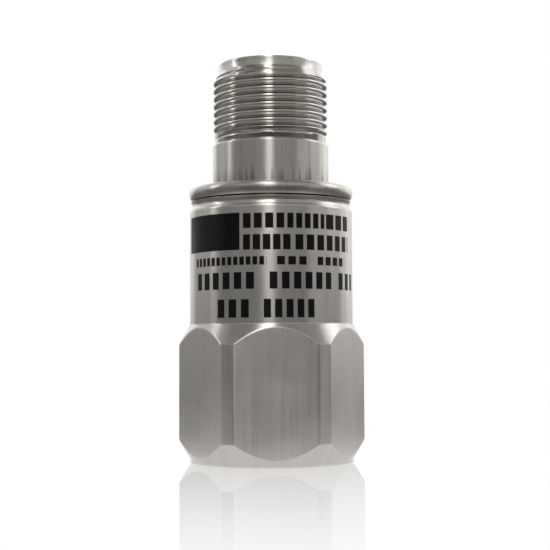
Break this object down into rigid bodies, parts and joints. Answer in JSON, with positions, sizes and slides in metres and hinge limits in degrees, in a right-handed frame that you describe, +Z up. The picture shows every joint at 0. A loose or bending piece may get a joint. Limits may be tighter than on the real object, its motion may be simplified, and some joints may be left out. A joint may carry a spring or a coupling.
{
  "type": "vibration sensor",
  "caption": "Stainless industrial vibration sensor: hexagonal foot with tapped mounting hole, round body and a threaded two-pin connector on top.",
  "frame": {"origin": "centre of the flat foot face that the sensor stands on", "axes": "+Z up the sensor's axis towards the connector, -Y out of one flat of the hexagon, +X to the right of that flat"},
  "size_m": [0.0252, 0.0228, 0.0542],
  "materials": {
    "steel": "turned and milled stainless steel, fine tool marks",
    "weld": "narrow weld, slightly darkened by heat",
    "seal_glass": "dark sealing glass, glossy",
    "gold_contact": "gold-plated contact, smooth",
    "brass": "drawn brass, satin",
    "tungsten": "ground tungsten alloy, satin",
    "piezo": "fired piezo ceramic, matte",
    "white_ceramic": "alumina, matte",
    "insulator": "natural insulating plastic, matte",
    "laminate": "green glass-fibre laminate",
    "package": "black moulded package",
    "capacitor_resin": "yellow moulded resin",
    "capacitor_ceramic": "tan multilayer ceramic",
    "lead_red": "red wire insulation",
    "lead_white": "white wire insulation"
  },
  "bodies": {
    "root": {"sensor_case": "steel", "connector_shell": "steel", "weld_bead": "weld", "glass_seal": "seal_glass", "contact_pin_a": "gold_contact", "contact_pin_b": "gold_contact", "case_liner": "insulator", "floor_insulator": "white_ceramic", "top_insulator": "insulator", "shield_can": "brass", "lead_bushing": "insulator", "element_base": "steel", "post_sleeve": "insulator", "piezo_ring_lower": "piezo", "signal_electrode": "brass", "piezo_ring_upper": "piezo", "seismic_mass": "tungsten", "spring_washer": "steel", "preload_nut": "steel", "board_spacer": "insulator", "amplifier_board": "laminate", "amplifier_chip": "package", "coupling_capacitor": "capacitor_resin", "feedback_capacitor": "capacitor_ceramic", "bias_resistor": "package", "gain_resistor": "package", "signal_lead": "lead_red", "return_lead": "lead_white", "output_lead_a": "lead_red", "output_lead_b": "lead_white"}
  },
  "joints": []
}
